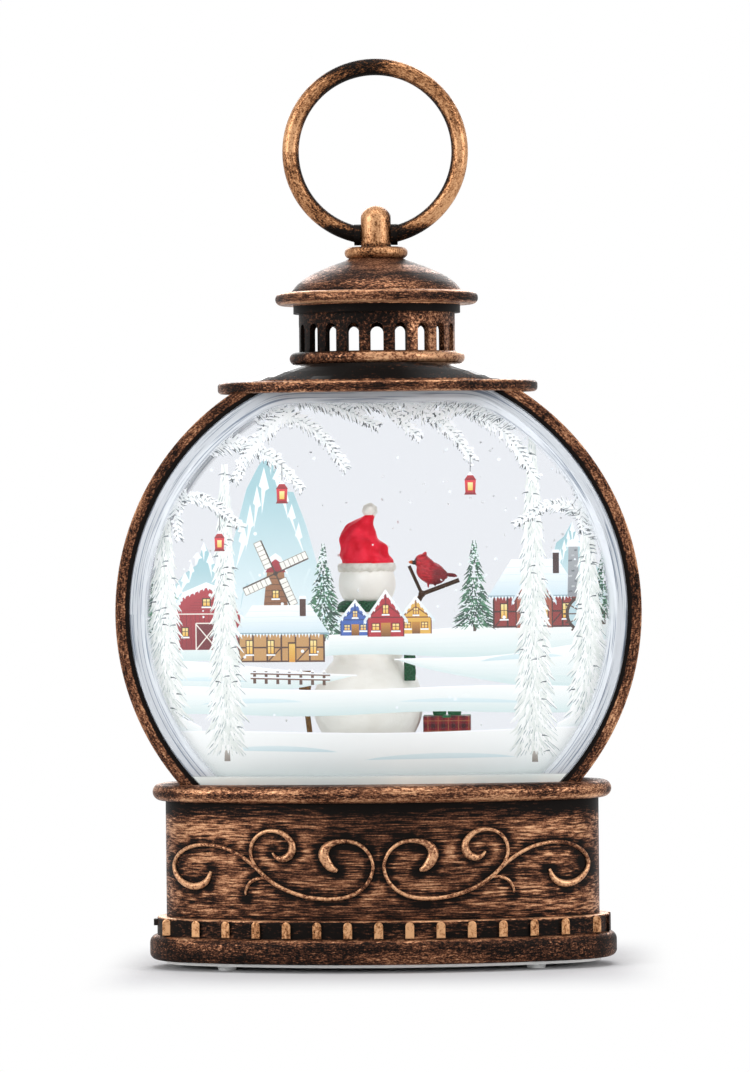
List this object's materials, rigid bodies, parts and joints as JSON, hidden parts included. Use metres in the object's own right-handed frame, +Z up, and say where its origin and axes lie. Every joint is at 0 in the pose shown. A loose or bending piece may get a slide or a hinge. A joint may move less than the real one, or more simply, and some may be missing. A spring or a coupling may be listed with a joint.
{
  "type": "snow globe",
  "caption": "Battery lantern snow globe: round liquid-filled globe with a snowman and a printed winter window, on an oval base, with a roofed gallery and a tilting ring handle.",
  "frame": {"origin": "centre of the footprint, on the surface that the feet stand on", "axes": "+Z up to the ring handle; X across the globe, the switch at the -X end; the printed window faces -Y"},
  "size_m": [0.1542, 0.071, 0.2672],
  "materials": {
    "bronze": "antique bronze paint, brushed copper highlights",
    "dark_bronze": "dark antique bronze paint",
    "gold_bronze": "antique bronze paint, gold rubbed edges",
    "ring_bronze": "antique bronze paint",
    "clear_acrylic": "clear, polished",
    "film": "clear film, printed winter scene",
    "frosted": "frosted light cover",
    "liquid": "clear liquid with white flakes",
    "white_plastic": "matt moulded",
    "black_plastic": "matt moulded",
    "steel": "plated",
    "contact": "nickel plated spring steel",
    "magnet": "plated",
    "cell": "plain printed sleeve",
    "circuit_board": "solder mask",
    "led": "diffused",
    "seal": "soft silicone",
    "snow": "painted resin",
    "coal": "painted",
    "carrot": "painted",
    "twig": "painted",
    "green_paint": "painted",
    "red_paint": "painted"
  },
  "bodies": {
    "lantern": {"feet": "white_plastic", "bottom_cover": "white_plastic", "cover_screws": "steel", "plinth": "dark_bronze", "dentil_band": "gold_bronze", "base_shell": "bronze", "base_deck": "dark_bronze", "light_window": "frosted", "led_boards": "circuit_board", "leds": "led", "board_screws": "steel", "motor_mount": "steel", "mount_screws": "steel", "motor": "steel", "battery_box": "black_plastic", "batteries": "cell", "battery_contacts": "contact", "contact_springs": "contact", "switch_body": "black_plastic", "control_board": "circuit_board", "tank_ring": "clear_acrylic", "window_gaskets": "seal", "picture_window": "clear_acrylic", "clear_window": "clear_acrylic", "picture_film": "film", "snow_mound": "snow", "snowman_body": "snow", "snowman_face": "coal", "carrot_nose": "carrot", "snowman_arms": "twig", "snowman_scarf": "green_paint", "snowman_hat": "red_paint", "hat_trim": "snow", "bird": "red_paint", "gift_box": "red_paint", "gift_ribbon": "green_paint", "broom": "twig", "liquid": "liquid", "fill_plug": "white_plastic", "plug_seal": "seal", "hoop_left": "dark_bronze", "hoop_right": "dark_bronze", "shoulder_cap": "bronze", "gallery": "dark_bronze", "roof": "bronze", "finial": "bronze", "finial_nut": "steel", "pivot_pin": "steel"},
    "handle": {"handle_ring": "ring_bronze"},
    "switch": {"switch_knob": "black_plastic"},
    "battery_lid": {"battery_door": "white_plastic", "door_screws": "steel"},
    "rotor": {"motor_shaft": "steel", "drive_disc": "white_plastic", "drive_magnets": "magnet"},
    "stirrer": {"impeller": "white_plastic", "impeller_magnet": "magnet"}
  },
  "joints": [
    {"name": "handle_tilt", "type": "hinge", "parent": "lantern", "child": "handle", "pos_m": [0, 0, 0.2153], "axis": [1, 0, 0], "range_deg": [-115, 115]},
    {"name": "switch_slide", "type": "slide", "parent": "lantern", "child": "switch", "axis": [0, 1, 0], "range_m": [0, 0.004]},
    {"name": "door_lift_off", "type": "slide", "parent": "lantern", "child": "battery_lid", "axis": [0, 0, -1], "range_m": [0, 0.02]},
    {"name": "rotor_spin", "type": "hinge", "parent": "lantern", "child": "rotor", "pos_m": [0, 0, 0.0466], "axis": [0, 0, 1], "continuous": true},
    {"name": "stirrer_spin", "type": "hinge", "parent": "lantern", "child": "stirrer", "pos_m": [0, 0, 0.0566], "axis": [0, 0, 1], "continuous": true}
  ],
  "couplings": [
    {"joint": "stirrer_spin", "follows": "rotor_spin", "ratio": 1}
  ]
}
